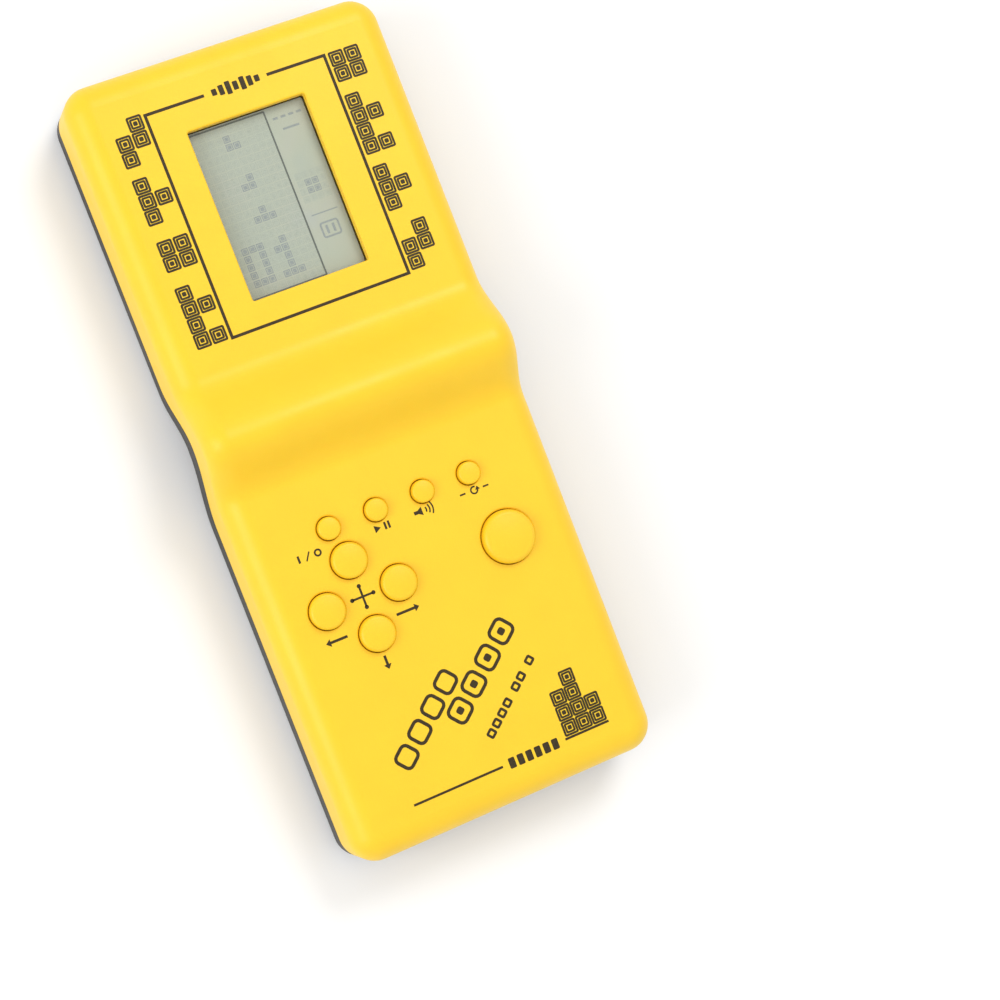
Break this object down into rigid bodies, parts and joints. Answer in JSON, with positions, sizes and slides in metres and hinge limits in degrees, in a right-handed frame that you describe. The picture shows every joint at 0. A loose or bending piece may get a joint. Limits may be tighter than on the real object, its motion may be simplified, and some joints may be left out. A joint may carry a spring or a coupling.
{
  "type": "handheld lcd game",
  "caption": "Handheld block-puzzle LCD game with a two-part case, raised wave below the screen, sprung keys, display stack, board, speaker and battery bay with sliding door.",
  "frame": {"origin": "centre of the case's bounding box, on the flat back that the game rests on", "axes": "+X to the player's right, +Y along the case towards the screen end, +Z out of the front face"},
  "size_m": [0.076, 0.185, 0.0341],
  "materials": {
    "yellow_case": "satin moulded yellow ABS with a fine moulded texture",
    "yellow_key": "satin moulded yellow plastic key caps",
    "black_case": "black moulded ABS, fine spark texture",
    "clear_window": "clear acrylic window",
    "foam": "black closed-cell foam",
    "display": "grey-green liquid crystal glass",
    "foil": "brushed silver reflector film",
    "white_plastic": "white moulded plastic",
    "rubber": "soft silicone rubber",
    "circuit_board": "brown phenolic paper board with printed tracks",
    "carbon": "printed carbon",
    "epoxy": "black epoxy",
    "ceramic": "glazed ceramic body",
    "capacitor_sleeve": "blue shrink sleeve",
    "cell_wrap": "green plastic wrap of a plain zinc cell",
    "plated_steel": "nickel-plated spring steel",
    "grey_plastic": "dark grey moulded plastic",
    "magnet": "zinc-plated magnet cup",
    "paper": "varnished paper cone",
    "wire_blue": "blue wire insulation",
    "wire_red": "red wire insulation",
    "wire_black": "black wire insulation",
    "screw_steel": "zinc-plated screw"
  },
  "bodies": {
    "case": {"front_shell": "yellow_case", "rear_shell": "black_case", "display_lens": "clear_window", "dust_gasket": "foam", "display_glass": "display", "display_reflector": "foil", "display_holder": "white_plastic", "elastomer_strips": "rubber", "main_board": "circuit_board", "contact_pads": "carbon", "chip_cover": "epoxy", "resonator": "ceramic", "capacitor": "capacitor_sleeve", "resistors": "ceramic", "transistor": "epoxy", "keypad_mat": "rubber", "dome_power": "rubber", "dome_start": "rubber", "dome_sound": "rubber", "dome_reset": "rubber", "dome_up": "rubber", "dome_down": "rubber", "dome_left": "rubber", "dome_right": "rubber", "dome_action": "rubber", "battery_cell_1": "cell_wrap", "battery_cell_2": "cell_wrap", "contact_plus": "plated_steel", "contact_minus": "plated_steel", "contact_bridge": "plated_steel", "speaker_frame": "grey_plastic", "speaker_magnet": "magnet", "speaker_cone": "paper", "speaker_wires": "wire_blue", "wire_plus": "wire_red", "wire_minus": "wire_black", "shell_screws": "screw_steel", "board_screws": "screw_steel"},
    "key_power_body": {"key_power": "yellow_key"},
    "key_start_body": {"key_start": "yellow_key"},
    "key_sound_body": {"key_sound": "yellow_key"},
    "key_reset_body": {"key_reset": "yellow_key"},
    "key_up_body": {"key_up": "yellow_key"},
    "key_down_body": {"key_down": "yellow_key"},
    "key_left_body": {"key_left": "yellow_key"},
    "key_right_body": {"key_right": "yellow_key"},
    "key_action_body": {"key_action": "yellow_key"},
    "door": {"battery_door": "black_case"}
  },
  "joints": [
    {"name": "press_power", "type": "slide", "parent": "case", "child": "key_power_body", "axis": [0, 0, -1], "range_m": [0, 0.001], "stiffness_N_per_m": 900, "deforming": ["dome_power"]},
    {"name": "press_start", "type": "slide", "parent": "case", "child": "key_start_body", "axis": [0, 0, -1], "range_m": [0, 0.001], "stiffness_N_per_m": 900, "deforming": ["dome_start"]},
    {"name": "press_sound", "type": "slide", "parent": "case", "child": "key_sound_body", "axis": [0, 0, -1], "range_m": [0, 0.001], "stiffness_N_per_m": 900, "deforming": ["dome_sound"]},
    {"name": "press_reset", "type": "slide", "parent": "case", "child": "key_reset_body", "axis": [0, 0, -1], "range_m": [0, 0.001], "stiffness_N_per_m": 900, "deforming": ["dome_reset"]},
    {"name": "press_up", "type": "slide", "parent": "case", "child": "key_up_body", "axis": [0, 0, -1], "range_m": [0, 0.001], "stiffness_N_per_m": 900, "deforming": ["dome_up"]},
    {"name": "press_down", "type": "slide", "parent": "case", "child": "key_down_body", "axis": [0, 0, -1], "range_m": [0, 0.001], "stiffness_N_per_m": 900, "deforming": ["dome_down"]},
    {"name": "press_left", "type": "slide", "parent": "case", "child": "key_left_body", "axis": [0, 0, -1], "range_m": [0, 0.001], "stiffness_N_per_m": 900, "deforming": ["dome_left"]},
    {"name": "press_right", "type": "slide", "parent": "case", "child": "key_right_body", "axis": [0, 0, -1], "range_m": [0, 0.001], "stiffness_N_per_m": 900, "deforming": ["dome_right"]},
    {"name": "press_action", "type": "slide", "parent": "case", "child": "key_action_body", "axis": [0, 0, -1], "range_m": [0, 0.001], "stiffness_N_per_m": 900, "deforming": ["dome_action"]},
    {"name": "slide_battery_door", "type": "slide", "parent": "case", "child": "door", "axis": [0, -1, 0], "range_m": [0, 0.028]}
  ]
}
